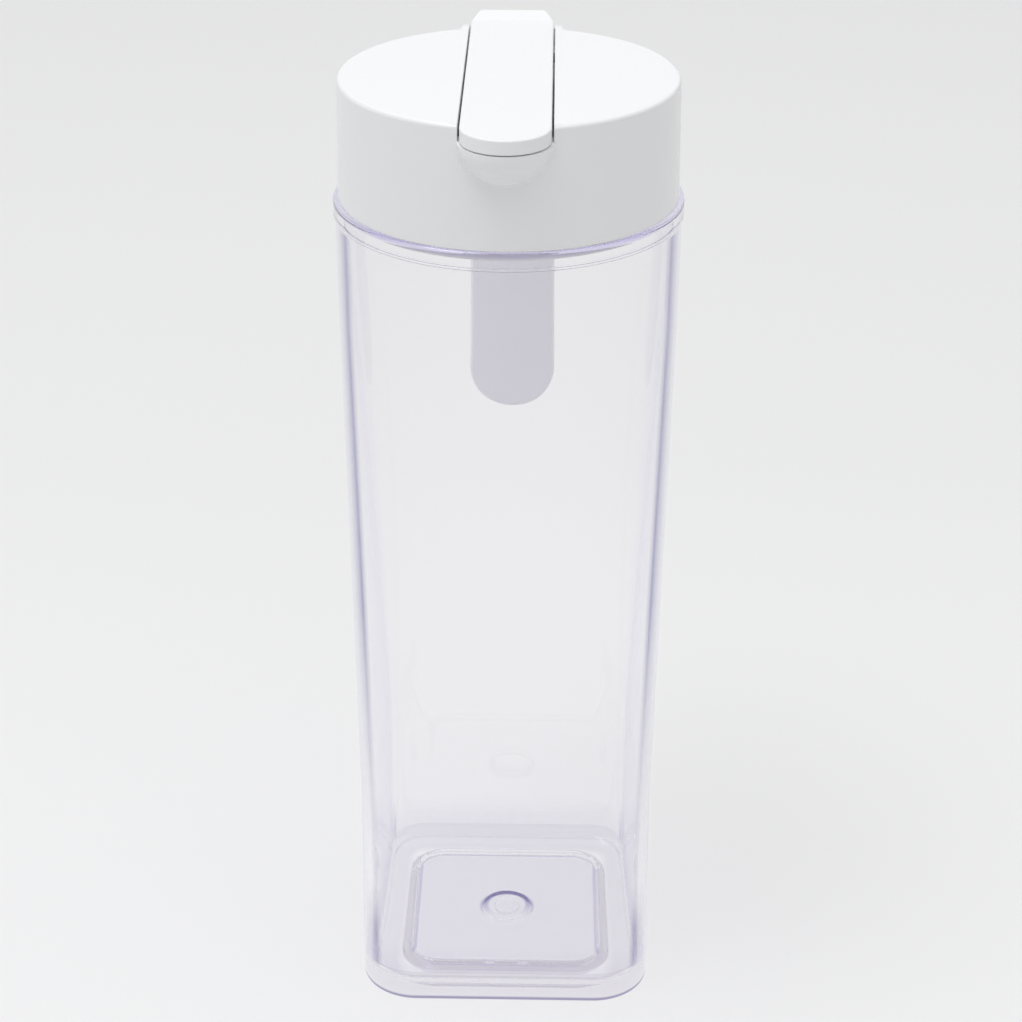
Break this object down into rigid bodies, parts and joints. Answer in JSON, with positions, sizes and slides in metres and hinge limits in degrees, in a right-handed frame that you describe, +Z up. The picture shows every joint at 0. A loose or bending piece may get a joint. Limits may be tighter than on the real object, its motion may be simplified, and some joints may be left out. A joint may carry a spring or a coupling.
{
  "type": "water pitcher",
  "caption": "Tall clear pitcher with a white lift-off lid, a pour lever that tilts off the pour hole in the lid and a handle hanging from the lid.",
  "frame": {"origin": "middle of the foot, on the surface that the pitcher stands on", "axes": "+Z up along the vessel, -Y to the spout, +Y to the handle, +X to the right seen from the spout"},
  "size_m": [0.1048, 0.1499, 0.3017],
  "materials": {
    "clear_plastic": "polished clear plastic with a faint violet tint",
    "white_plastic": "satin moulded white",
    "liner_plastic": "matt moulded white",
    "silicone": "soft matt white",
    "screw_steel": "plain steel"
  },
  "bodies": {
    "vessel": {"vessel": "clear_plastic"},
    "lid": {"lid_cover": "white_plastic", "lid_liner": "liner_plastic", "lid_gasket": "silicone", "pour_tube": "liner_plastic", "handle_shell": "white_plastic", "handle_cover": "white_plastic", "handle_screws": "screw_steel"},
    "lever": {"pour_lever": "white_plastic", "spout_seal": "silicone"}
  },
  "joints": [
    {"name": "lid_lift", "type": "slide", "parent": "vessel", "child": "lid", "axis": [0, 0, 1], "range_m": [0, 0.12]},
    {"name": "lever_tilt", "type": "hinge", "parent": "lid", "child": "lever", "pos_m": [0, 0.04, 0.293], "axis": [-1, 0, 0], "range_deg": [0, 20]}
  ]
}
